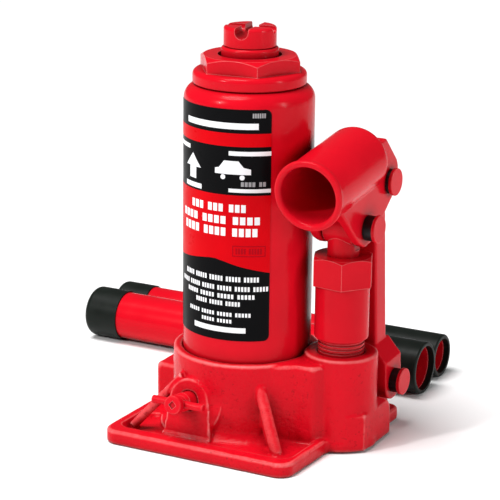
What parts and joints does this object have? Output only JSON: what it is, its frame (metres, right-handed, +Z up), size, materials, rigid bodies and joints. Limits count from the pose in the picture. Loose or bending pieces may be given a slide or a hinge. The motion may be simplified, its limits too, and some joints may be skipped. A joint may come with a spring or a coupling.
{
  "type": "bottle jack",
  "caption": "Upright hydraulic bottle jack with a flat cast base, round tank, lifting ram with extension screw, hinged pump socket and a loose handle.",
  "frame": {"origin": "centre of the ram's axis on the underside of the base", "axes": "+Z up along the ram, -Y towards the release valve and the mouth of the handle socket, +X towards the pump"},
  "size_m": [0.1661, 0.1446, 0.1572],
  "materials": {
    "red_casting": "gloss enamel over a cast surface",
    "red_tube": "gloss enamel",
    "red_steel": "gloss enamel",
    "red_ram": "gloss enamel on the exposed end",
    "label_print": "printed film",
    "black_rubber": "matt",
    "dark_seal": "matt",
    "copper_washer": "soft annealed",
    "bare_steel": "turned",
    "bearing_steel": "polished",
    "spring_steel": "oiled",
    "screen_brass": "woven",
    "guide_brass": "turned",
    "seal_plastic": "matt",
    "black_clip": "black oxide",
    "black_vinyl": "dipped vinyl, soft sheen"
  },
  "bodies": {
    "base": {"base_casting": "red_casting", "reservoir_tube": "red_tube", "tank_label": "label_print", "top_nut": "red_steel", "oil_filler_plug": "black_rubber", "reservoir_base_seal": "dark_seal", "cylinder_base_seal": "copper_washer", "pressure_cylinder": "bare_steel", "top_nut_seal": "dark_seal", "ram_wiper": "black_rubber", "pump_cylinder": "red_steel", "pump_cylinder_washer": "copper_washer", "plunger_seal": "dark_seal", "plunger_backup_ring": "seal_plastic", "outlet_check_ball": "bearing_steel", "outlet_check_spring": "spring_steel", "outlet_spring_retainer": "bare_steel", "inlet_pocket_plug": "bare_steel", "suction_screen": "screen_brass", "overload_ball": "bearing_steel", "overload_spring": "spring_steel", "overload_adjuster": "bare_steel", "overload_plug": "bare_steel", "link_foot_pin": "red_steel", "link_foot_pin_ring": "black_clip", "link_foot_pin_clip": "black_clip"},
    "inlet_ball": {"inlet_check_ball": "bearing_steel"},
    "ram": {"ram": "red_ram", "ram_guide_ring": "guide_brass", "ram_cup_seal": "dark_seal", "ram_seal_retainer": "bare_steel"},
    "screw_stop": {"screw_stop_ring": "bare_steel"},
    "screw": {"extension_screw": "red_ram"},
    "link": {"lever_link": "red_steel"},
    "socket": {"handle_socket": "red_casting", "pump_pin": "red_steel", "pump_pin_ring": "black_clip", "link_top_pin": "red_steel", "link_top_pin_ring": "black_clip", "socket_pin_clips": "black_clip"},
    "plunger": {"pump_plunger": "red_steel"},
    "valve_ball": {"release_valve_ball": "bearing_steel"},
    "valve_seal": {"release_valve_seal": "black_rubber"},
    "valve_screw": {"release_valve_screw": "red_steel", "release_valve_cross_pin": "red_steel"},
    "near_handle": {"near_handle_tube": "red_tube", "near_handle_cap": "black_vinyl", "near_handle_sleeve": "black_vinyl"},
    "far_handle": {"far_handle_tube": "red_tube", "far_handle_cap": "black_vinyl", "far_handle_sleeve": "black_vinyl"}
  },
  "joints": [
    {"name": "socket_pivot", "type": "hinge", "parent": "link", "child": "socket", "pos_m": [0.0375, 0.0243, 0.099], "axis": [-1, 0, 0], "range_deg": [0, 42]},
    {"name": "link_swing", "type": "hinge", "parent": "base", "child": "link", "pos_m": [0.0375, 0.0299, 0.0191], "axis": [-1, 0, 0], "range_deg": [0, 3.68]},
    {"name": "plunger_stroke", "type": "slide", "parent": "base", "child": "plunger", "axis": [0, 0, 1], "range_m": [0, 0.01778]},
    {"name": "ram_lift", "type": "slide", "parent": "base", "child": "ram", "axis": [0, 0, 1], "range_m": [0, 0.09]},
    {"name": "screw_lift", "type": "slide", "parent": "ram", "child": "screw_stop", "axis": [0, 0, 1], "range_m": [0, 0.059]},
    {"name": "screw_turn", "type": "hinge", "parent": "screw_stop", "child": "screw", "pos_m": [0, 0, 0.1572], "axis": [0, 0, 1], "range_deg": [0, 5320]},
    {"name": "valve_seal_travel", "type": "slide", "parent": "base", "child": "valve_seal", "axis": [0, -0.9877, 0.1564], "range_m": [0, 0.0019]},
    {"name": "release_valve_turn", "type": "hinge", "parent": "valve_seal", "child": "valve_screw", "pos_m": [-0.0088, -0.0295, 0.0189], "axis": [0, -0.9877, 0.1564], "range_deg": [0, 540]},
    {"name": "release_ball_lift", "type": "slide", "parent": "base", "child": "valve_ball", "axis": [0, -0.9877, 0.1564], "range_m": [0, 0.0019]},
    {"name": "inlet_ball_lift", "type": "slide", "parent": "base", "child": "inlet_ball", "axis": [0, 0, 1], "range_m": [0, 0.0008]},
    {"name": "near_handle_lift", "type": "slide", "parent": "base", "child": "near_handle", "axis": [0, 0, 1], "range_m": [0, 0.1]},
    {"name": "far_handle_lift", "type": "slide", "parent": "base", "child": "far_handle", "axis": [0, 0, 1], "range_m": [0, 0.1]}
  ],
  "couplings": [
    {"joint": "link_swing", "follows": "socket_pivot", "ratio": 0.0865},
    {"joint": "plunger_stroke", "follows": "socket_pivot", "m_per_rad": 0.02423},
    {"joint": "screw_turn", "follows": "screw_lift", "rad_per_m": 1570.8},
    {"joint": "valve_seal_travel", "follows": "release_valve_turn", "m_per_rad": 0.00019894},
    {"joint": "release_ball_lift", "follows": "release_valve_turn", "m_per_rad": 0.00019894}
  ]
}
